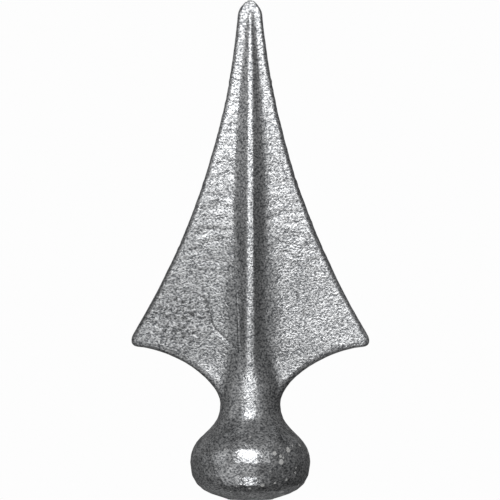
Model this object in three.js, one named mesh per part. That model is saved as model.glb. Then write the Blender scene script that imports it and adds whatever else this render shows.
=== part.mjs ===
// Spear point finial: a cast iron fence and gate point, one solid piece.
// From the bottom up it is a flat weld seat, a flattened ball, a round neck and a flat
// spear blade with two barbs, concave edges and a raised rib down the middle of each face.
// Millimetres, +Z up, blade width along X, blade thickness along Y.
// The origin is the centre of the weld seat.

import * as THREE from 'three';
import { LoftGeometry } from 'three/addons/geometries/LoftGeometry.js';

// Driving dimensions: heights are above the weld seat, half-widths are from the axis.
const TOTAL_HEIGHT = 120;
const SEAT_RADIUS = 5;
const BALL_RADIUS = 14.4;
const BALL_HEIGHT = 9;
const NECK_RADIUS = 7.2;
const NECK_HEIGHT = 23;
const BARB_ROOT_HALF_WIDTH = 27;
const BARB_ROOT_HEIGHT = 36.6;
const BARB_TOP_HALF_WIDTH = 28;
const BARB_TOP_HEIGHT = 40;
const EDGE_RADIUS = 179;
const TIP_HALF_WIDTH = 2.95;
const TIP_HEIGHT = 116.5;
const TIP_FACET_RADIUS = 0.6;

// Pull points of the outline's curves: how far each curve runs on before it bends.
const SEAT_PULL = [9.1, 1.5];
const BALL_PULL_DOWN = 7.3;
const SHOULDER_PULL = 7.2;
const NECK_PULL_UP = 5.8;
const BARB_UNDERSIDE_PULL = [18.9, 36.2];
const BARB_ROOT_PULL = [28.75, 36.68];
const BARB_TOP_PULL = [29.15, 38.3];
const TIP_PULL = [2.8, 118.2];
const TOP_PULL = [1.2, 119.75];

// Blade section: half-thickness of the wings, and how far the rib stands above them.
const WING_HALF_THICKNESS = 2.2;
const WING_TIP_HALF_THICKNESS = 1.6;
const WING_ROOT_HALF_THICKNESS = 3;
const WING_ROOT_TOP = 34;
const WING_EDGE_ROUNDING = 1;
const RIB_STAND = 3.75;
const RIB_TOP_STAND = 0.45;
const RIB_TOP_HEIGHT = 116;
const RIB_END_HEIGHT = 117.5;
const RIB_STAND_TAPER = 1.4;
const RIB_FOOT_HALF_WIDTH = 4.2;
const RIB_TIP_FOOT_HALF_WIDTH = 0.65;
const RIB_FOOT_TAPER = 2.5;
const RIB_CREST_HALF_WIDTH = 0.95;
const RIB_TIP_CREST_HALF_WIDTH = 0.42;
const RIB_CREST_ROUNDING = 0.3;
const RIB_FILLET_SHARE = 0.12;
const RIB_FILLET_LEAST = 0.1;

// The end of the blade slopes back a little and stays deep, which makes the tip blunt.
const TIP_SLOPE_START = 115;
const TIP_SLOPE_SHARE = 0.2;
const TIP_BLUNTNESS = 0.3;

// Low ramp beside the rib's foot, where the lower blade is heavier.
const RAMP_REACH = 7;
const RAMP_SLOPE = 0.25;
const RAMP_STEEPENING = 0.03;
const RAMP_FILLET = 0.6;
const RAMP_FULL_HEIGHT = 48;
const RAMP_END_HEIGHT = 76;

// The neck runs on into the blade as a cone, which sinks into the rib.
const CONE_TOP_HALF_WIDTH = 3.4;
const CONE_NARROW_HEIGHT = 40;
const CONE_SINK_HEIGHT = 52;
const CONE_FILLET = 3;
const CONE_FILLET_LEAST = 0.01;
const CONE_FILLET_START = 28;
const CONE_FILLET_END = 36;

// Mesh density: columns in a quarter of a section, and rings along each stretch of the outline.
const RIB_COLUMNS = 9;
const WING_COLUMNS = 2;
const EDGE_COLUMNS = 4;
const RINGS = { base: 6, shoulder: 10, barbUnderside: 14, barbCorner: 6, longEdge: 24, tip: 6 };

// The rib's columns reach a little past its foot, within these shares of the half-width. The first
// one marks the side of the flat crest, within a share of that reach, and the rest crowd towards
// it. The rounded edge's columns take at most the last share of the half-width.
const RIB_REACH_PER_STAND = 2.4;
const RIB_REACH_LEAST = 0.4;
const RIB_REACH_MOST = 0.5;
const CREST_REACH_MOST = 0.25;
const RIB_COLUMN_CROWDING = 1.4;
const EDGE_REACH_MOST = 0.25;

// The rings rise towards the axis near the barbs, so that they meet both edges of a barb squarely.
const RING_LIFT = 12.4;
const RING_LIFT_REACH = 60;

const QUARTER_COLUMNS = RIB_COLUMNS + WING_COLUMNS + EDGE_COLUMNS;
const QUARTER_TURN = Math.PI / 2;
const { clamp, lerp, smoothstep } = THREE.MathUtils;
const point = (halfWidth, height) => new THREE.Vector2(halfWidth, height);

// Larger of two depths, with a fillet of the given size where they cross.
function filletedMax(a, b, fillet) {
  const overlap = Math.max(fillet - Math.abs(a - b), 0) / fillet;
  return Math.max(a, b) + (overlap * overlap * fillet) / 4;
}

// Arc of a circle from one point to another, hollow towards the axis.
function concaveArc(from, to, radius) {
  const chord = to.clone().sub(from);
  const middle = from.clone().addScaledVector(chord, 0.5);
  const rise = Math.sqrt(radius ** 2 - chord.lengthSq() / 4);
  const outward = point(chord.y, -chord.x).normalize();
  const centre = middle.addScaledVector(outward, rise);
  const startAngle = from.clone().sub(centre).angle();
  const endAngle = to.clone().sub(centre).angle();
  return new THREE.EllipseCurve(centre.x, centre.y, radius, radius, startAngle, endAngle, true);
}

// Half of the outline seen from the front, from the weld seat up to the tip.
function outlineCurves() {
  const seat = point(SEAT_RADIUS, 0);
  const ball = point(BALL_RADIUS, BALL_HEIGHT);
  const neck = point(NECK_RADIUS, NECK_HEIGHT);
  const barbRoot = point(BARB_ROOT_HALF_WIDTH, BARB_ROOT_HEIGHT);
  const barbTop = point(BARB_TOP_HALF_WIDTH, BARB_TOP_HEIGHT);
  const tip = point(TIP_HALF_WIDTH, TIP_HEIGHT);
  const top = point(TIP_FACET_RADIUS, TOTAL_HEIGHT);
  const belowBall = point(BALL_RADIUS, BALL_HEIGHT - BALL_PULL_DOWN);
  const aboveBall = point(BALL_RADIUS, BALL_HEIGHT + SHOULDER_PULL);
  const belowNeck = point(NECK_RADIUS, NECK_HEIGHT - SHOULDER_PULL);
  const aboveNeck = point(NECK_RADIUS, NECK_HEIGHT + NECK_PULL_UP);
  const bezier = (...points) => new THREE.CubicBezierCurve(...points);
  return {
    base: bezier(seat, point(...SEAT_PULL), belowBall, ball),
    shoulder: bezier(ball, aboveBall, belowNeck, neck),
    barbUnderside: bezier(neck, aboveNeck, point(...BARB_UNDERSIDE_PULL), barbRoot),
    barbCorner: bezier(barbRoot, point(...BARB_ROOT_PULL), point(...BARB_TOP_PULL), barbTop),
    longEdge: concaveArc(barbTop, tip, EDGE_RADIUS),
    tip: bezier(tip, point(...TIP_PULL), point(...TOP_PULL), top),
  };
}

// 0 up to the barbs, 1 from the end of the rib up.
function tipwardShare(height) {
  return clamp((height - BARB_TOP_HEIGHT) / (RIB_TOP_HEIGHT - BARB_TOP_HEIGHT), 0, 1);
}

// 0 in the round neck, 1 where the blade is flat.
function flatness(height) {
  return smoothstep(height, NECK_HEIGHT, BARB_ROOT_HEIGHT);
}

// Half-thickness of the flat wings.
function flatWing(height) {
  return lerp(WING_HALF_THICKNESS, WING_TIP_HALF_THICKNESS, tipwardShare(height));
}

// Half-thickness of the wings, which get thicker where they grow out of the neck.
function wingHalfThickness(height) {
  const aboveRoot = smoothstep(height, NECK_HEIGHT, WING_ROOT_TOP);
  return lerp(WING_ROOT_HALF_THICKNESS, flatWing(height), aboveRoot);
}

// How far the rib's crest stands above the flat wings, which falls away towards the tip.
function ribStand(height) {
  const stand = lerp(RIB_STAND, RIB_TOP_STAND, tipwardShare(height) ** RIB_STAND_TAPER);
  return stand * (1 - smoothstep(height, RIB_TOP_HEIGHT, RIB_END_HEIGHT));
}

// Half-width of the rib's flat crest.
function crestHalfWidth(height) {
  return lerp(RIB_CREST_HALF_WIDTH, RIB_TIP_CREST_HALF_WIDTH, tipwardShare(height));
}

// Half-depth of the rib at a distance from the axis: a flat crest with even flanks.
function ribDepth(distance, height) {
  const tipward = tipwardShare(height) ** RIB_FOOT_TAPER;
  const foot = lerp(RIB_FOOT_HALF_WIDTH, RIB_TIP_FOOT_HALF_WIDTH, tipward);
  const crest = crestHalfWidth(height);
  const down = filletedMax(0, distance - crest, RIB_CREST_ROUNDING) / (foot - crest);
  return flatWing(height) + ribStand(height) * (1 - down);
}

// How much a wing's face rises towards the rib's foot.
function rampRise(distance, height) {
  const heaviness = 1 - smoothstep(height, RAMP_FULL_HEIGHT, RAMP_END_HEIGHT);
  const inward = RAMP_REACH - distance;
  const ramp = inward * (RAMP_SLOPE + RAMP_STEEPENING * Math.max(inward, 0));
  return heaviness * filletedMax(0, ramp, RAMP_FILLET);
}

// Half-depth of the neck's cone at a distance from the axis: half an ellipse.
function coneDepth(distance, height) {
  const narrowed = smoothstep(height, NECK_HEIGHT, CONE_NARROW_HEIGHT);
  const sunk = smoothstep(height, NECK_HEIGHT, CONE_SINK_HEIGHT);
  const halfWidth = lerp(NECK_RADIUS, CONE_TOP_HALF_WIDTH, narrowed);
  const halfDepth = NECK_RADIUS * (1 - sunk);
  return halfDepth * Math.sqrt(Math.max(1 - (distance / halfWidth) ** 2, 0));
}

// Fillet between cone and wing, which starts from nothing at the neck and ends with the cone.
function coneFillet(height) {
  const started = smoothstep(height, NECK_HEIGHT, CONE_FILLET_START);
  const ended = smoothstep(height, CONE_FILLET_END, CONE_SINK_HEIGHT);
  return lerp(CONE_FILLET_LEAST, CONE_FILLET, started * (1 - ended));
}

// Share of full thickness at a distance from the outline: a quarter circle, then flat.
function roundedEdge(inward, rounding) {
  const short = 1 - Math.min(inward / rounding, 1);
  return Math.sqrt(Math.max(1 - short * short, 0));
}

// Share of full depth left where the blunt tip slopes back.
function tipSlope(height) {
  return 1 - TIP_SLOPE_SHARE * smoothstep(height, TIP_SLOPE_START, TOTAL_HEIGHT);
}

// Half-depth of the blade: wing, cone and rib melted together, narrowed by a scale round the tip.
function bladeDepth(distance, height, edge, scale) {
  const across = distance / scale;
  const wing = (wingHalfThickness(height) + rampRise(across, height) * flatness(height)) * edge;
  const root = filletedMax(wing, coneDepth(across, height), coneFillet(height));
  const fillet = Math.max(RIB_FILLET_SHARE * ribStand(height), RIB_FILLET_LEAST);
  const depth = filletedMax(root, ribDepth(across, height) * edge, fillet);
  return scale ** TIP_BLUNTNESS * tipSlope(height) * depth;
}

// How far a ring's middle stands above its ends.
function ringLift(height) {
  const barbHeight = (BARB_ROOT_HEIGHT + BARB_TOP_HEIGHT) / 2;
  const below = smoothstep(height, NECK_HEIGHT, barbHeight);
  const above = 1 - smoothstep(height, barbHeight, barbHeight + RING_LIFT_REACH);
  return RING_LIFT * Math.min(below, above);
}

// Distances from the axis of one quarter's columns, from the rib's crest to the outline.
function columnDistances(halfWidth, flat, edgeReach, crestHeight) {
  const ribReach = clamp(
    RIB_REACH_PER_STAND * ribStand(crestHeight),
    RIB_REACH_LEAST * halfWidth,
    RIB_REACH_MOST * halfWidth,
  );
  const crest = Math.min(crestHalfWidth(crestHeight), CREST_REACH_MOST * ribReach);
  const edgeStart = Math.max(halfWidth - edgeReach, ribReach);
  const distances = [0];
  for (let k = 1; k <= QUARTER_COLUMNS; k++) {
    const round = halfWidth * Math.sin((QUARTER_TURN * k) / QUARTER_COLUMNS);
    let blade;
    if (k <= RIB_COLUMNS) {
      blade = lerp(crest, ribReach, ((k - 1) / (RIB_COLUMNS - 1)) ** RIB_COLUMN_CROWDING);
    } else if (k <= RIB_COLUMNS + WING_COLUMNS) {
      blade = lerp(ribReach, edgeStart, (k - RIB_COLUMNS) / WING_COLUMNS);
    } else {
      const turn = (QUARTER_TURN * (k - RIB_COLUMNS - WING_COLUMNS)) / EDGE_COLUMNS;
      blade = edgeStart + (halfWidth - edgeStart) * Math.sin(turn);
    }
    distances.push(lerp(round, blade, flat));
  }
  return distances;
}

// One quarter of a ring, from the rib's crest to the outline, as [x, half-depth, z].
function quarterRing(outlinePoint, outlineTangent, tipScale, onBlade) {
  const { x: halfWidth, y: height } = outlinePoint;
  const flat = onBlade ? flatness(height) : 0;
  const crestHeight = height + (onBlade ? ringLift(height) * tipScale : 0);
  const along = point(halfWidth, height - crestHeight);
  const length = along.length();
  const squareness = Math.abs(along.clone().normalize().cross(outlineTangent));
  const wingReach = Math.min(WING_EDGE_ROUNDING / squareness, EDGE_REACH_MOST * length);
  const edgeReach = onBlade ? wingReach : length;
  return columnDistances(halfWidth, flat, edgeReach, crestHeight).map((distance) => {
    const share = distance / halfWidth;
    const z = lerp(crestHeight, height, share);
    const edge = roundedEdge((1 - share) * length, edgeReach);
    const depth = onBlade ? bladeDepth(distance, z, edge, tipScale) : halfWidth * edge;
    return [distance, share < 1 ? depth : 0, z];
  });
}

// A whole ring, counterclockwise seen from above, mirrored from its quarter.
function wholeRing(quarter) {
  const last = quarter.length - 1;
  const ring = [];
  for (let k = 0; k < 4 * last; k++) {
    const side = Math.floor(k / last);
    const step = k % last;
    const [x, depth, z] = quarter[side % 2 ? last - step : step];
    const towardsX = side < 2 ? 1 : -1;
    const towardsY = side === 0 || side === 3 ? -1 : 1;
    ring.push(new THREE.Vector3(towardsX * x, towardsY * depth, z));
  }
  return ring;
}

// All rings from the weld seat to the tip.
function finialRings() {
  const rings = [];
  for (const [stretch, curve] of Object.entries(outlineCurves())) {
    const onBlade = stretch !== 'base' && stretch !== 'shoulder';
    const first = rings.length ? 1 : 0;
    for (let i = first; i <= RINGS[stretch]; i++) {
      const t = i / RINGS[stretch];
      const place = curve.getPoint(t);
      const tipScale = stretch === 'tip' ? place.x / TIP_HALF_WIDTH : 1;
      rings.push(wholeRing(quarterRing(place, curve.getTangent(t), tipScale, onBlade)));
    }
  }
  return rings;
}

const rawCastIron = new THREE.MeshStandardMaterial({ color: 0x7c7d80, metalness: 0.9, roughness: 0.5 });

const casting = new THREE.Mesh(
  new LoftGeometry(finialRings(), { capStart: true, capEnd: true }),
  rawCastIron,
);
casting.name = 'spear_point';

const finial = new THREE.Group();
finial.name = 'spear_point_finial';
finial.add(casting);

export default finial;
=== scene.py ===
# %% [markdown]
# # A cast iron spear point
# This lesson dresses the measured solid of a fence and gate finial: a spear blade with two barbs
# and a raised rib, a round neck, and a flattened ball that is welded onto a bar. The solid already
# has the right form and size. Here it gets what a foundry gives it: soft corners, a sand-cast skin
# with its grain, pits and laps, and bare grey metal that catches the light.

# %% Load the measured solid
import math

import bpy
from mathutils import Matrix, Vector
from mathutils.geometry import interpolate_bezier, intersect_point_line


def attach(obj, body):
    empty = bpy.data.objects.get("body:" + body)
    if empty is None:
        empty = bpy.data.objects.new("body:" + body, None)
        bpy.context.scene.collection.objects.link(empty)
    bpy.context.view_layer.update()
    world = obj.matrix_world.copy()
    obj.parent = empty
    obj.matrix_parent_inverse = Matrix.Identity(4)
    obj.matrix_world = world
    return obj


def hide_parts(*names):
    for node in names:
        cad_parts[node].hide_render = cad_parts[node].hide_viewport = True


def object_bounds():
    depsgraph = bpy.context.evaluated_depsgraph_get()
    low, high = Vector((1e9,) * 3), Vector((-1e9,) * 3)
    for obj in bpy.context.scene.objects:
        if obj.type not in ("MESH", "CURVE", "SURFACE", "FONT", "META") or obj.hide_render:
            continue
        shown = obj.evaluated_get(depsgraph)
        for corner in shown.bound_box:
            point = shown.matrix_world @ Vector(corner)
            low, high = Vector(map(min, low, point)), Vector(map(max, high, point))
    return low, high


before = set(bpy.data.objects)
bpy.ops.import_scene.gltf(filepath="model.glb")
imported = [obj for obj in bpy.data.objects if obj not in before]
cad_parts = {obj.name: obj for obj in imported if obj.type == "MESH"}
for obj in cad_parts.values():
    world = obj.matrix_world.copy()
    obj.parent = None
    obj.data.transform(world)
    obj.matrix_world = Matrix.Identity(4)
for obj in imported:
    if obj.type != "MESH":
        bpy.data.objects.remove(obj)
cad_low, cad_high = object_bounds()
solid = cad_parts["spear_point"]
MM = 0.001
HEIGHT = cad_high.z
BALL_RADIUS = cad_high.y
BARB_REACH = cad_high.x
print(f"solid: {HEIGHT / MM:.1f} mm high, {2 * BARB_REACH / MM:.1f} mm across the barbs")

# %% [markdown]
# ## The view
# A long lens keeps the outline free of perspective, as in a catalogue picture. The camera looks
# level along +Y at the middle of the height, and the picture is as wide as the point is high.

# %% Camera
PICTURE_WIDTH = 120.12 * MM
CAMERA_DISTANCE = 1.5
SENSOR_WIDTH = 36
VIEW_CENTRE = Vector((-0.07 * MM, 0, 59.94 * MM))

bpy.ops.object.select_all(action="DESELECT")
bpy.ops.object.camera_add(
    location=VIEW_CENTRE - Vector((0, CAMERA_DISTANCE, 0)),
    rotation=(math.radians(90), 0, 0),
)
camera = bpy.context.object
camera.name = "catalogue_camera"
camera.data.sensor_width = SENSOR_WIDTH
camera.data.lens = SENSOR_WIDTH * CAMERA_DISTANCE / PICTURE_WIDTH
bpy.context.scene.camera = camera
print(f"camera: {camera.data.lens:.0f} mm lens, {CAMERA_DISTANCE} m away")

# %% [markdown]
# ## The outline
# Every form of the casting starts from its outline, seen from the front. It could be traced with a
# hundred points, but six pull curves are enough: each has a start, two pull points and an end, as
# (half-width, height) in millimetres.

# %% Outline curves
SEAT = (5, 0)
BALL = (BALL_RADIUS / MM, 9)
NECK = (7.2, 23)
BARB_ROOT = (27, 36.6)
BARB_TOP = (28, 40)
TIP = (2.95, 116.5)
TOP = (0.6, HEIGHT / MM)


def pull_curve(start, pull_out, pull_in, end, steps):
    """Points along a curve in the XZ plane, in metres, without its first point."""
    corners = [Vector((x * MM, 0, z * MM)) for x, z in (start, pull_out, pull_in, end)]
    return interpolate_bezier(*corners, steps + 1)[1:]


base_curve = pull_curve(SEAT, (9.1, 1.5), (14.4, 1.7), BALL, steps=12)
shoulder_curve = pull_curve(BALL, (14.4, 16.2), (7.2, 15.8), NECK, steps=16)
underside_curve = pull_curve(NECK, (7.2, 28.8), (18.9, 36.2), BARB_ROOT, steps=16)
barb_curve = pull_curve(BARB_ROOT, (28.75, 36.68), (29.15, 38.3), BARB_TOP, steps=6)
edge_curve = pull_curve(BARB_TOP, (13.94, 63.3), (5.38, 89.4), TIP, steps=32)
tip_curve = pull_curve(TIP, (2.8, 118.2), (1.2, 119.75), TOP, steps=6)
print(f"outline: {len(base_curve + shoulder_curve + underside_curve)} points up to the barbs")

# %% [markdown]
# ## Turned ball and neck
# The pattern maker would turn the ball and neck on a lathe. In Blender that is a profile drawn with
# one vertex, extruded from point to point, and spun once round the axis. A loft or stacked
# spheres would also do, but a spun profile keeps the outline's curves exactly.

# %% Draw a line of vertices
def draw(name, points):
    """A new mesh with one vertex, drawn out along the points. Stays in edit mode."""
    bpy.ops.object.select_all(action="DESELECT")
    bpy.ops.mesh.primitive_plane_add(size=MM)
    drawn = bpy.context.object
    drawn.name = name
    bpy.ops.object.mode_set(mode="EDIT")
    bpy.ops.mesh.select_all(action="SELECT")
    bpy.ops.mesh.merge(type="CENTER")
    bpy.ops.transform.translate(value=points[0])
    for last, following in zip(points, points[1:]):
        step = following - last
        bpy.ops.mesh.extrude_region_move(TRANSFORM_OT_translate={"value": step})
    return drawn


# %% Spin the profile
SPIN_STEPS = 96
NECK_TOP = 30 * MM
NECK_TAPER = 0.8
MERGE_DISTANCE = 0.01 * MM
on_axis = Vector((0, 0, 0))
seat_edge = Vector((SEAT[0] * MM, 0, 0))
neck_inside = Vector((NECK[0] * MM * NECK_TAPER, 0, NECK_TOP))
neck_end = Vector((0, 0, NECK_TOP))
profile = [on_axis, seat_edge, *base_curve, *shoulder_curve, neck_inside, neck_end]

turned = draw("turned_ball_and_neck", profile)
bpy.ops.mesh.select_all(action="SELECT")
bpy.ops.mesh.spin(steps=SPIN_STEPS, angle=2 * math.pi, center=(0, 0, 0), axis=(0, 0, 1))
bpy.ops.mesh.select_all(action="SELECT")
bpy.ops.mesh.remove_doubles(threshold=MERGE_DISTANCE)
bpy.ops.mesh.normals_make_consistent(inside=False)
bpy.ops.object.mode_set(mode="OBJECT")
print(f"turned ball and neck: {len(turned.data.polygons)} faces")

# %% [markdown]
# ## Flat blade
# The blade is a flat plate with the spear's outline. It is drawn as one closed line, filled with a
# face and extruded to its thickness. The rim is then bevelled, because molten iron doesn't fill a
# sharp corner.

# %% Fill and thicken the outline
WING_THICKNESS = 4.2 * MM
RIM_ROUNDING = 1.1 * MM
right_side = [*underside_curve, *barb_curve, *edge_curve, *tip_curve]
left_side = [Vector((-p.x, p.y, p.z)) for p in reversed(right_side)]
to_front = Vector((0, -WING_THICKNESS / 2, 0))

blade = draw("flat_blade", [p + to_front for p in right_side + left_side])
bpy.ops.mesh.select_all(action="SELECT")
bpy.ops.mesh.edge_face_add()
bpy.ops.mesh.extrude_region_move(TRANSFORM_OT_translate={"value": -2 * to_front})
bpy.ops.mesh.select_all(action="SELECT")
bpy.ops.mesh.normals_make_consistent(inside=False)
bpy.ops.object.mode_set(mode="OBJECT")

rim = blade.modifiers.new("rounded_rim", "BEVEL")
rim.width = RIM_ROUNDING
rim.segments = 3
rim.limit_method = "ANGLE"
rim.angle_limit = math.radians(60)
rim.use_clamp_overlap = False
bpy.ops.object.modifier_apply(modifier=rim.name)
print(f"flat blade: {len(blade.data.polygons)} faces")

# %% [markdown]
# ## Root and rib
# The round neck runs on into the blade as a cone, and a ridge like a roof runs up the middle of
# both faces. Both are rings that are extruded upwards and resized at each stop: a round ring that
# narrows for the root, and a ring of four corners for the rib.

# %% Extrude a ring through its stops
def raise_ring(name, corners, stops):
    """A filled ring drawn up through stops of (half-width, half-depth, height), in millimetres."""
    bpy.ops.object.select_all(action="DESELECT")
    bpy.ops.mesh.primitive_circle_add(vertices=corners, radius=MM, fill_type="NGON")
    raised = bpy.context.object
    raised.name = name
    bpy.ops.object.mode_set(mode="EDIT")
    bpy.ops.mesh.select_all(action="SELECT")
    width, depth, height = 1, 1, 0
    for number, stop in enumerate(stops):
        rise = Vector((0, 0, (stop[2] - height) * MM))
        if number == 0:
            bpy.ops.transform.translate(value=rise)
        else:
            bpy.ops.mesh.extrude_region_move(TRANSFORM_OT_translate={"value": rise})
        growth = (stop[0] / width, stop[1] / depth, 1)
        bpy.ops.transform.resize(value=growth, center_override=(0, 0, stop[2] * MM))
        width, depth, height = stop
    bpy.ops.mesh.select_all(action="SELECT")
    bpy.ops.mesh.normals_make_consistent(inside=False)
    bpy.ops.object.mode_set(mode="OBJECT")
    print(f"{name}: {len(raised.data.polygons)} faces")
    return raised


root = raise_ring("narrowing_root", corners=48, stops=[
    (7.1, 7.1, 22),
    (7.0, 7.0, 24.5),
    (6.5, 6.6, 27.5),
    (5.5, 5.8, 31.5),
    (4.4, 4.6, 35.5),
    (3.4, 3.0, 40),
])
rib = raise_ring("raised_rib", corners=4, stops=[
    (5.0, 6.6, 24),
    (5.0, 6.6, 45),
    (5.1, 6.2, 60),
    (5.3, 5.4, 75),
    (5.0, 4.0, 95),
    (3.6, 3.0, 108),
    (2.2, 2.4, 116),
    (0.8, 0.9, 119.6),
])

# %% [markdown]
# ## One casting
# The four forms are joined and remeshed into one even skin of small quads, which is also what the
# grain needs later. Remeshing leaves creases where the forms cross, and iron never has them, so the
# skin is fitted to the measured solid and then smoothed a little. Near the tip the rib is only a
# millimetre wide, and its crest is narrow all the way up, so the quads there are cut in four
# before the fit.

# %% Join the forms
bpy.ops.object.select_all(action="DESELECT")
for form in (turned, blade, root, rib):
    form.select_set(True)
bpy.context.view_layer.objects.active = blade
bpy.ops.object.join()
casting = bpy.context.object
casting.name = "spear_point_casting"
print(f"joined: {len(casting.data.polygons)} faces")

# %% Remesh and fit
SKIN_STEP = 0.42 * MM
FINE_ABOVE = 95
RIB_STARTS = 42
CREST_REACH = 1.8


def apply_modifier(kind, name, **settings):
    """Adds a modifier to the casting, sets it up and applies it."""
    modifier = casting.modifiers.new(name, kind)
    for setting, value in settings.items():
        setattr(modifier, setting, value)
    bpy.ops.object.modifier_apply(modifier=name)


def pick_vertices(chosen):
    """Enters edit mode with only those vertices selected whose place in millimetres is chosen."""
    bpy.ops.object.mode_set(mode="EDIT")
    bpy.ops.mesh.select_mode(type="VERT")
    bpy.ops.mesh.select_all(action="DESELECT")
    bpy.ops.object.mode_set(mode="OBJECT")
    count = 0
    for vertex in casting.data.vertices:
        vertex.select = chosen(*(vertex.co / MM))
        count += vertex.select
    bpy.ops.object.mode_set(mode="EDIT")
    return count


def on_crest(x, y, z):
    """True along the middle of the rib."""
    return z > RIB_STARTS and abs(x) < CREST_REACH


apply_modifier("REMESH", "even_skin", mode="VOXEL", voxel_size=SKIN_STEP)
pick_vertices(lambda x, y, z: z > FINE_ABOVE or on_crest(x, y, z))
bpy.ops.mesh.subdivide(number_cuts=1)
bpy.ops.object.mode_set(mode="OBJECT")
apply_modifier("SHRINKWRAP", "fit_to_solid", target=solid, wrap_method="NEAREST_SURFACEPOINT")
apply_modifier("SMOOTH", "cast_corners", factor=0.5, iterations=2)
print(f"casting: {len(casting.data.vertices)} vertices")

# %% [markdown]
# ## Wide hollows and a round crest
# On the right the wing rises to the rib in a wide hollow, and on both sides of the root the corner
# between neck and wing is filled out, because the pattern maker pressed wax into it. These places
# could be sculpted. Smoothing does the same evenly: a vertex group says where, its faded border
# says how much, and the skin there relaxes into a wide curve. A few steps also round the rib's
# crest.

# %% Groups of vertices with a faded border
def make_group(name, chosen, fade_steps):
    """A vertex group of the chosen places, faded out at its border."""
    count = pick_vertices(chosen)
    bpy.ops.object.vertex_group_assign_new()
    casting.vertex_groups.active.name = name
    bpy.ops.mesh.select_all(action="SELECT")
    bpy.ops.object.vertex_group_smooth(group_select_mode="ACTIVE", factor=0.5, repeat=fade_steps)
    bpy.ops.object.mode_set(mode="OBJECT")
    print(f"{name}: {count} vertices")


# %% Relax the hollows and the crest
HOLLOW_HEIGHTS = (38, 100)
HOLLOW_SIDES = (2.4, 6.5)
NARROWS_ABOVE = 70
NARROWING_PER_MM = 0.012
ROOT_HEIGHTS = (27, 40)
ROOT_SIDES = (2.6, 8)
FORM_FADE = 4
HOLLOW_STEPS = 40
CREST_STEPS = 12


def between(value, limits):
    """True between a lower and an upper limit."""
    return limits[0] < value < limits[1]


def in_hollow(x, y, z):
    """True at the right foot of the rib, narrower upwards, and on both sides of the root."""
    narrowing = 1 - NARROWING_PER_MM * max(z - NARROWS_ABOVE, 0)
    by_rib = between(z, HOLLOW_HEIGHTS) and between(x / narrowing, HOLLOW_SIDES)
    by_root = between(z, ROOT_HEIGHTS) and between(abs(x), ROOT_SIDES)
    return by_rib or by_root


make_group("hollows", in_hollow, FORM_FADE)
apply_modifier(
    "SMOOTH", "wide_hollows", vertex_group="hollows", factor=0.5, iterations=HOLLOW_STEPS,
)
make_group("crest", on_crest, FORM_FADE)
apply_modifier("SMOOTH", "round_crest", vertex_group="crest", factor=0.5, iterations=CREST_STEPS)

# %% [markdown]
# ## Sand-cast skin
# Sand leaves three sizes of unevenness: the slow waves of a rammed mould, lumps where grains
# washed away, and the print of the grains themselves. The first two are real relief, pushed out of
# the mesh by a displacement with a cloud pattern. The finest is too small for the mesh and goes
# into the material. Where the iron cooled first, low on the left wing, the skin is rougher: those
# vertices become a group of their own, and a third pattern is pressed into the group alone. The
# upper wings have flat ripples, where the iron ran in: there an empty that is squeezed in height
# measures the pattern, so its clouds come out wider than high.

# %% Push out the waves and lumps
ROUGH_CENTRE = (-17, 43.5)
ROUGH_RADIUS = 7
ROUGH_FADE = 20


def press_pattern(name, size, depth, group="", measured_by=None):
    """Displaces the skin by a cloud pattern: size and depth are real sizes in metres."""
    pattern = bpy.data.textures.new(name, "CLOUDS")
    pattern.noise_scale = size
    pattern.noise_depth = 1
    apply_modifier(
        "DISPLACE", name, texture=pattern, texture_coords="OBJECT" if measured_by else "LOCAL",
        texture_coords_object=measured_by, strength=depth, mid_level=0.5, vertex_group=group,
    )


def in_rough_patch(x, y, z):
    """True on the front within the round rough patch."""
    return y < 0 and math.hypot(x - ROUGH_CENTRE[0], z - ROUGH_CENTRE[1]) < ROUGH_RADIUS


make_group("rough_patch", in_rough_patch, ROUGH_FADE)
press_pattern("mould_waves", size=9 * MM, depth=0.25 * MM)
press_pattern("sand_lumps", size=1.4 * MM, depth=0.08 * MM)
press_pattern("rough_sand", size=0.9 * MM, depth=0.2 * MM, group="rough_patch")
print(f"skin: {len(casting.data.vertices)} vertices pressed")

# %% Ripples of the upper wings
RIPPLE_HEIGHTS = (56, 102)
RIPPLE_FLATTENING = 2.5
RIPPLE_FADE = 24


def on_upper_wings(x, y, z):
    """True on both wings of the upper blade."""
    return between(z, RIPPLE_HEIGHTS) and abs(x) > CREST_REACH


make_group("upper_wings", on_upper_wings, RIPPLE_FADE)
bpy.ops.object.empty_add()
squeezed = bpy.context.object
squeezed.scale = (1, 1, 1 / RIPPLE_FLATTENING)
bpy.context.view_layer.objects.active = casting
casting.select_set(True)
press_pattern(
    "ripples", size=3.6 * MM, depth=0.24 * MM, group="upper_wings", measured_by=squeezed,
)
bpy.data.objects.remove(squeezed)

# %% [markdown]
# ## Laps, scratches and the seat
# A lap is a fine line where two fronts of iron met and didn't quite join. One runs over the rough
# patch and on to the foot of the rib. There are a few short scratches too, and along the left foot
# of the rib a thin flash, where iron crept into the joint of the pattern. A texture could draw
# them, but real relief catches the light from every side. Each is a path of (x, z) corners in
# millimetres: the vertices near it are sunk or raised along their normals. The lap's lower side is
# sunk alone, in three passes that reach further each time, so that it ends in a small step. The
# seat was dressed flat for the weld, so its vertices are scaled to one level.

# %% Paths on the front
LAP = [(-12.6, 49.1), (-10.9, 48.5), (-9.9, 46.4), (-9.1, 42.2), (-8.2, 41), (-4.9, 38.1),
       (-2.5, 35.9)]
SCRATCHES = [
    [(-14, 45.3), (-13.8, 43.1)],
    [(-13.8, 41.4), (-13.5, 39.6)],
    [(11.5, 50.1), (11.5, 47.7)],
    [(12.8, 46.2), (12.9, 43.8)],
]
FLASH = [(-3.3, 51), (-3.2, 48.4), (-2.9, 42.9), (-2.7, 36.6), (-2.5, 35.4)]
LINE_HEIGHTS = (30, 60)
LINE_HALF_WIDTH = 0.2


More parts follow.
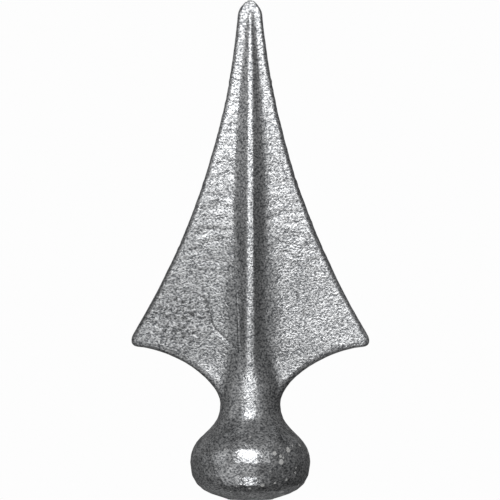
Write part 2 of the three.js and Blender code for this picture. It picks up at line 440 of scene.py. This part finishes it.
def near_path(place, path, reach, one_side):
    """True within a distance of a path, or of its right-hand side alone."""
    for start, end in zip(path, path[1:]):
        nearest, share = intersect_point_line(place, Vector(start), Vector(end))
        along = Vector(end) - Vector(start)
        if one_side and along.cross(place - nearest) > 0:
            continue
        if 0 <= share <= 1 and (place - nearest).length < reach:
            return True
    return False


def pick_lines(paths, reach, one_side=False):
    """Picks the front's vertices within a distance of any path, and enters edit mode."""
    return pick_vertices(
        lambda x, y, z: y < 0 and between(z, LINE_HEIGHTS)
        and any(near_path(Vector((x, z)), path, reach, one_side) for path in paths)
    )


def move_lines(name, paths, rise, reach=LINE_HALF_WIDTH, one_side=False):
    """Raises the front's skin along paths by a height in metres, or sinks it."""
    picked = pick_lines(paths, reach, one_side)
    bpy.ops.transform.shrink_fatten(value=rise)
    bpy.ops.object.mode_set(mode="OBJECT")
    print(f"{name}: {picked} vertices moved")


# %% Sink and raise the lines
LINE_MARGIN = 0.8
LAP_REACHES = [0.3, 0.6, 0.9]
LAP_RISE = -0.06 * MM
SCRATCH_RISE = -0.14 * MM
FLASH_RISE = 0.11 * MM

pick_lines([LAP, *SCRATCHES, FLASH], LINE_MARGIN)
bpy.ops.mesh.subdivide(number_cuts=1)
bpy.ops.object.mode_set(mode="OBJECT")
for reach in LAP_REACHES:
    move_lines("lap", [LAP], LAP_RISE, reach, one_side=True)
move_lines("scratches", SCRATCHES, SCRATCH_RISE)
move_lines("flash", [FLASH], FLASH_RISE)

# %% Level the seat
SEAT_DEPTH = 0.5
SEAT_MARGIN = 0.3


def on_seat(x, y, z):
    """True on the flat under the ball."""
    return z < SEAT_DEPTH and math.hypot(x, y) < SEAT[0] + SEAT_MARGIN


level = pick_vertices(on_seat)
bpy.ops.transform.resize(value=(1, 1, 0), center_override=(0, 0, 0))
bpy.ops.object.mode_set(mode="OBJECT")
bpy.ops.object.shade_smooth()
casting.data.calc_loop_triangles()
print(f"seat: {level} vertices levelled, casting: {len(casting.data.loop_triangles)} triangles")

# %% [markdown]
# ## Bare cast iron
# The finish is bare grey iron, shaken clean after casting. Its high grains are rubbed bright and
# its low grains keep a dark skin, so the surface sparkles in fine specks. Sharp places are made
# brighter as rubbed wear, and hollows darker as painted shade. Cast iron is a metal with a soft
# gloss: metallic 1 and a roughness of about 0.4. The rough patch has darker pits, the left side of
# the lower blade is darker, and the ball has blotches, and pale specks where dust of the mould
# stuck to it. The upper blade and the right barb get painted light. All this could be painted on an
# image. Patterns in real millimetres need none, and they stay sharp from near and from every side.

# %% Colour and node helpers
def linear(hex_colour):
    """An sRGB hex colour as linear red, green, blue and alpha."""
    channels = [int(hex_colour[i : i + 2], 16) / 255 for i in (1, 3, 5)]
    return [c / 12.92 if c <= 0.04045 else ((c + 0.055) / 1.055) ** 2.4 for c in channels] + [1]


def add_node(tree, kind, inputs=None, **settings):
    """Adds a node with its settings. An input is a value, or a socket that is linked to it."""
    node = tree.nodes.new(kind)
    for setting, value in settings.items():
        setattr(node, setting, value)
    for socket, value in (inputs or {}).items():
        if isinstance(value, bpy.types.NodeSocket):
            tree.links.new(value, node.inputs[socket])
        else:
            node.inputs[socket].default_value = value
    return node


def repeats_per_metre(size):
    """Noise scale that gives spots of a real size in metres."""
    return 1 / size


# %% Sand grain
GRAIN_SIZE = 0.53 * MM
LOW_GRAIN_DEPTH = 0.1 * MM
HIGH_GRAIN_DEPTH = 0.11 * MM
GRAIN_FLATTENING = 1.25
GRAIN_TURN = (0.6, 0.4, 0.3)
MOTTLE_SIZE = 5 * MM

cast_iron = bpy.data.materials.new("sand_cast_iron")
cast_iron.use_nodes = True
tree = cast_iron.node_tree
tree.nodes.clear()
place = add_node(tree, "ShaderNodeTexCoord").outputs["Object"]
flattened = add_node(tree, "ShaderNodeMapping", {
    "Vector": place, "Scale": (1, 1, GRAIN_FLATTENING), "Rotation": GRAIN_TURN,
}).outputs["Vector"]
grain = add_node(tree, "ShaderNodeTexNoise", {
    "Vector": flattened, "Scale": repeats_per_metre(GRAIN_SIZE), "Detail": 1, "Roughness": 0.6,
}).outputs["Fac"]
mottle = add_node(tree, "ShaderNodeTexNoise", {
    "Vector": place, "Scale": repeats_per_metre(MOTTLE_SIZE), "Detail": 3,
}).outputs["Fac"]
rubbed = add_node(tree, "ShaderNodeMapRange", {
    "Value": grain, "From Min": 0.35, "From Max": 0.65,
}).outputs["Result"]
grain_colour = add_node(tree, "ShaderNodeMix", {
    "Factor": rubbed, "A": linear("#727477"), "B": linear("#dcddde"),
}, data_type="RGBA").outputs["Result"]
print(f"grain: {GRAIN_SIZE / MM:.2f} mm wide, mottle: {MOTTLE_SIZE / MM:.1f} mm")

# %% Wear on sharp places, painted shade in hollows
sharpness = add_node(tree, "ShaderNodeNewGeometry").outputs["Pointiness"]
# Pointiness brightens sharp places as rubbed wear, and darkens hollows, creases and laps as painted
# shade.
wear_and_hollow_shade = add_node(tree, "ShaderNodeMapRange", {
    "Value": sharpness, "From Min": 0.45, "From Max": 0.55, "To Min": 0.75, "To Max": 1.1,
}).outputs["Result"]
print(f"wear: {len(tree.nodes)} nodes so far")

# %% Darker pits in the rough patch
PATCH_FADE = 4
PIT_SIZE = 0.9 * MM

axes = add_node(tree, "ShaderNodeSeparateXYZ", {"Vector": place}).outputs
on_front = add_node(tree, "ShaderNodeMapRange", {
    "Value": axes["Y"], "From Min": 0.5 * MM, "From Max": -0.5 * MM,
}).outputs["Result"]
upright = add_node(tree, "ShaderNodeVectorMath", {
    0: place, 1: (1, 0, 1),
}, operation="MULTIPLY").outputs["Vector"]
from_centre = add_node(tree, "ShaderNodeVectorMath", {
    0: upright, 1: (ROUGH_CENTRE[0] * MM, 0, ROUGH_CENTRE[1] * MM),
}, operation="DISTANCE").outputs["Value"]
in_patch = add_node(tree, "ShaderNodeMapRange", {
    "Value": from_centre,
    "From Min": (ROUGH_RADIUS + PATCH_FADE) * MM, "From Max": (ROUGH_RADIUS - PATCH_FADE) * MM,
}).outputs["Result"]
patch = add_node(tree, "ShaderNodeMath", {0: in_patch, 1: on_front}, operation="MULTIPLY")
pits = add_node(tree, "ShaderNodeTexNoise", {
    "Vector": place, "Scale": repeats_per_metre(PIT_SIZE), "Detail": 1,
}).outputs["Fac"]
pitted = add_node(tree, "ShaderNodeMapRange", {
    "Value": pits, "From Min": 0.3, "From Max": 0.6, "To Min": 0.3, "To Max": 1,
}).outputs["Result"]
patch_shade = add_node(tree, "ShaderNodeMix", {
    "Factor": patch.outputs["Value"], "A": 1.0, "B": pitted,
}, data_type="FLOAT").outputs["Result"]
print(f"pits: {PIT_SIZE / MM:.1f} mm, faded over {2 * PATCH_FADE} mm")

# %% Darker left side of the lower blade
leftward = add_node(tree, "ShaderNodeMapRange", {
    "Value": axes["X"], "From Min": -0.5 * MM, "From Max": -3 * MM,
}).outputs["Result"]
downward = add_node(tree, "ShaderNodeMapRange", {
    "Value": axes["Z"], "From Min": 80 * MM, "From Max": 60 * MM,
}).outputs["Result"]
above_neck = add_node(tree, "ShaderNodeMapRange", {
    "Value": axes["Z"], "From Min": 25 * MM, "From Max": 34 * MM,
}).outputs["Result"]
left_low = add_node(tree, "ShaderNodeMath", {0: leftward, 1: downward}, operation="MULTIPLY")
left_wing = add_node(tree, "ShaderNodeMath", {
    0: left_low.outputs["Value"], 1: above_neck,
}, operation="MULTIPLY")
# The colour is made darker on the left of the lower blade, fading out upwards and towards the neck.
darkened_left = add_node(tree, "ShaderNodeMapRange", {
    "Value": left_wing.outputs["Value"], "To Min": 1, "To Max": 0.8,
}).outputs["Result"]
print(f"dull side: {len(tree.nodes)} nodes so far")

# %% Blotches of the ball, painted light on the tip and the right barb
BLOTCH_SIZE = 2.6 * MM

blotches = add_node(tree, "ShaderNodeTexNoise", {
    "Vector": place, "Scale": repeats_per_metre(BLOTCH_SIZE), "Detail": 2,
}).outputs["Fac"]
blotched = add_node(tree, "ShaderNodeMapRange", {
    "Value": blotches, "From Min": 0.3, "From Max": 0.7, "To Min": 0.85, "To Max": 1.55,
}).outputs["Result"]
turned_shine = add_node(tree, "ShaderNodeMapRange", {
    "Value": axes["Z"], "From Min": 18 * MM, "From Max": 25 * MM, "To Min": blotched, "To Max": 1,
}).outputs["Result"]
# Painted light: the colour grows brighter up the blade, from 65 mm to 95 mm, towards the tip.
painted_tip_light = add_node(tree, "ShaderNodeMapRange", {
    "Value": axes["Z"], "From Min": 65 * MM, "From Max": 95 * MM, "To Min": 0.94, "To Max": 1.24,
}).outputs["Result"]
# Painted light: the right barb is made brighter towards its outer end.
painted_barb_light = add_node(tree, "ShaderNodeMapRange", {
    "Value": axes["X"], "From Min": 14 * MM, "From Max": 25 * MM, "To Min": 1, "To Max": 1.25,
}).outputs["Result"]
shade = wear_and_hollow_shade
for factor in (patch_shade, darkened_left, turned_shine, painted_tip_light, painted_barb_light):
    product = add_node(tree, "ShaderNodeMath", {0: shade, 1: factor}, operation="MULTIPLY")
    shade = product.outputs["Value"]
skin_colour = add_node(tree, "ShaderNodeVectorMath", {
    0: grain_colour, "Scale": shade,
}, operation="SCALE").outputs["Vector"]
print(f"blotches: {BLOTCH_SIZE / MM:.1f} mm")

# %% Pale specks on the ball
SPECK_SPACING = 1.5 * MM

cells = add_node(tree, "ShaderNodeTexVoronoi", {
    "Vector": place, "Scale": repeats_per_metre(SPECK_SPACING),
}).outputs
lot = add_node(tree, "ShaderNodeSeparateColor", {"Color": cells["Color"]}).outputs["Red"]
largest_speck = add_node(tree, "ShaderNodeMapRange", {
    "Value": axes["X"], "From Min": -8 * MM, "From Max": 6 * MM, "To Min": 0.15, "To Max": 0.5,
}).outputs["Result"]
speck_size = add_node(tree, "ShaderNodeMapRange", {
    "Value": lot, "From Min": 0.6, "From Max": 1, "To Min": 0, "To Max": largest_speck,
}).outputs["Result"]
inside = add_node(tree, "ShaderNodeMath", {
    0: speck_size, 1: cells["Distance"],
}, operation="SUBTRACT").outputs["Value"]
speck = add_node(tree, "ShaderNodeMapRange", {
    "Value": inside, "From Min": 0, "From Max": 0.04,
}).outputs["Result"]
on_ball = add_node(tree, "ShaderNodeMapRange", {
    "Value": axes["Z"], "From Min": 18 * MM, "From Max": 16 * MM,
}).outputs["Result"]
ball_speck = add_node(tree, "ShaderNodeMath", {
    0: speck, 1: on_ball,
}, operation="MULTIPLY").outputs["Value"]
colour = add_node(tree, "ShaderNodeMix", {
    "Factor": ball_speck, "A": skin_colour, "B": linear("#d8d8d6"),
}, data_type="RGBA").outputs["Result"]
metal = add_node(tree, "ShaderNodeMapRange", {
    "Value": ball_speck, "To Min": 1, "To Max": 0.3,
}).outputs["Result"]
print(f"specks: {SPECK_SPACING / MM:.1f} mm apart")

# %% Gloss, relief and shader
mottled_gloss = add_node(tree, "ShaderNodeMapRange", {
    "Value": mottle, "From Min": 0.3, "From Max": 0.7, "To Min": 0.31, "To Max": 0.47,
}).outputs["Result"]
turned_gloss = add_node(tree, "ShaderNodeMapRange", {
    "Value": axes["Z"], "From Min": 18.5 * MM, "From Max": 25.5 * MM, "To Min": 0.7, "To Max": 1,
}).outputs["Result"]
gloss = add_node(tree, "ShaderNodeMath", {
    0: mottled_gloss, 1: turned_gloss,
}, operation="MULTIPLY").outputs["Value"]
grain_strength = add_node(tree, "ShaderNodeMapRange", {
    "Value": axes["Z"], "From Min": 20 * MM, "From Max": 28 * MM, "To Min": 0.5, "To Max": 1,
}).outputs["Result"]
grain_depth = add_node(tree, "ShaderNodeMapRange", {
    "Value": axes["Z"], "From Min": 50 * MM, "From Max": 90 * MM,
    "To Min": LOW_GRAIN_DEPTH, "To Max": HIGH_GRAIN_DEPTH,
}).outputs["Result"]
relief = add_node(tree, "ShaderNodeBump", {
    "Height": grain, "Distance": grain_depth, "Strength": grain_strength,
}).outputs["Normal"]
iron = add_node(tree, "ShaderNodeBsdfPrincipled", {
    "Metallic": metal, "Base Color": colour, "Roughness": gloss, "Normal": relief,
})
add_node(tree, "ShaderNodeOutputMaterial", {"Surface": iron.outputs["BSDF"]})
casting.data.materials.clear()
casting.data.materials.append(cast_iron)
print(f"material: {cast_iron.name}, {len(tree.nodes)} nodes")

# %% [markdown]
# ## Into the frame
# The finial has no moving parts, so the casting belongs to the one body of the frame. It stands
# for the whole measured solid, and for that solid's material.

# %% Bind the casting to the frame
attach(casting, "root")
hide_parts("spear_point")
print(f"bound: {casting.name}")

# %% [markdown]
# ## Studio
# The picture has a white ground with no shadow, and yet the metal reflects dim grey walls. In a
# studio that takes black flags. Here the white floor and the white dome around it are seen by the
# camera alone, and a separate dim world fills the reflections, a little paler up and to the left.

# %% White floor and dome
DOME_RADIUS = 6
FLOOR_DROP = 0.05 * MM

white_paper = bpy.data.materials.new("white_paper")
white_paper.use_nodes = True
paper_tree = white_paper.node_tree
paper_tree.nodes.clear()
glow = add_node(paper_tree, "ShaderNodeEmission", {"Color": linear("#fdfdfd"), "Strength": 1})
add_node(paper_tree, "ShaderNodeOutputMaterial", {"Surface": glow.outputs["Emission"]})


def seen_by_camera_only(ground, name):
    """Names a ground, papers it and hides it from light and reflections."""
    ground.name = name
    ground.data.materials.append(white_paper)
    ground.visible_diffuse = False
    ground.visible_glossy = False
    ground.visible_transmission = False
    ground.visible_shadow = False


bpy.ops.object.select_all(action="DESELECT")
bpy.ops.mesh.primitive_circle_add(
    vertices=64, radius=DOME_RADIUS, fill_type="NGON", location=(0, 0, -FLOOR_DROP)
)
seen_by_camera_only(bpy.context.object, "white_floor")
bpy.ops.mesh.primitive_uv_sphere_add(radius=DOME_RADIUS)
seen_by_camera_only(bpy.context.object, "white_dome")
print(f"white floor and dome: {DOME_RADIUS} m")

# %% Dim walls in the reflections
PALE_SIDE = Vector((-0.3, -0.6, 0.6)).normalized()

walls = bpy.data.worlds.new("dim_walls")
bpy.context.scene.world = walls
walls.use_nodes = True
wall_tree = walls.node_tree
wall_tree.nodes.clear()
direction = add_node(wall_tree, "ShaderNodeTexCoord").outputs["Generated"]
facing = add_node(wall_tree, "ShaderNodeVectorMath", {
    0: direction, 1: PALE_SIDE,
}, operation="DOT_PRODUCT").outputs["Value"]
brightness = add_node(wall_tree, "ShaderNodeMapRange", {
    "Value": facing, "From Min": -1, "From Max": 1, "To Min": 0.07, "To Max": 0.32,
}).outputs["Result"]
wall_light = add_node(wall_tree, "ShaderNodeBackground", {
    "Color": linear("#ffffff"), "Strength": brightness,
})
add_node(wall_tree, "ShaderNodeOutputWorld", {"Surface": wall_light.outputs["Background"]})
bpy.context.scene.view_settings.view_transform = "Standard"
print(f"walls: {walls.name}")

# %% [markdown]
# ## Soft boxes
# Metal shows its lights as shapes, so each is a wide soft box and not a lamp. A key box high in
# front draws the highlight of ball and neck, a panel on the left lights the wings, and a narrow
# card on the right lifts the far side. Two low lights fill the ball's underside, and two more
# stand behind, for the views of the back.

# %% Lights around the point
def soft_box(name, place, aim, width, height, watts):
    """A rectangular light at a place, turned to aim at a point."""
    bpy.ops.object.light_add(type="AREA", location=place)
    box = bpy.context.object
    box.name = name
    box.data.shape = "RECTANGLE"
    box.data.size = width
    box.data.size_y = height
    box.data.energy = watts
    box.visible_camera = False
    box.rotation_euler = (Vector(aim) - Vector(place)).to_track_quat("-Z", "Y").to_euler()
    print(f"{name}: {watts} W")


low_part = (0, 0, 15 * MM)
middle = (0, 0, HEIGHT / 2)
soft_box("key_box", (-0.036, -0.42, 0.224), low_part, width=0.28, height=0.28, watts=0.92)
soft_box("left_panel", (-0.53, -0.28, 0.14), middle, width=0.34, height=0.4, watts=0.14)
soft_box("right_card", (0.23, -0.4, 0.19), low_part, width=0.1, height=0.36, watts=0.085)
soft_box("low_card", (-0.01, -0.2, -0.22), low_part, width=0.08, height=0.06, watts=0.092)
soft_box("low_sheet", (-0.18, -0.3, -0.22), low_part, width=0.5, height=0.4, watts=0.24)
soft_box("back_box", (0, 0.377, 0.279), low_part, width=0.19, height=0.22, watts=0.35)
soft_box("back_sheet", (0, 0.28, -0.26), low_part, width=0.4, height=0.3, watts=0.04)
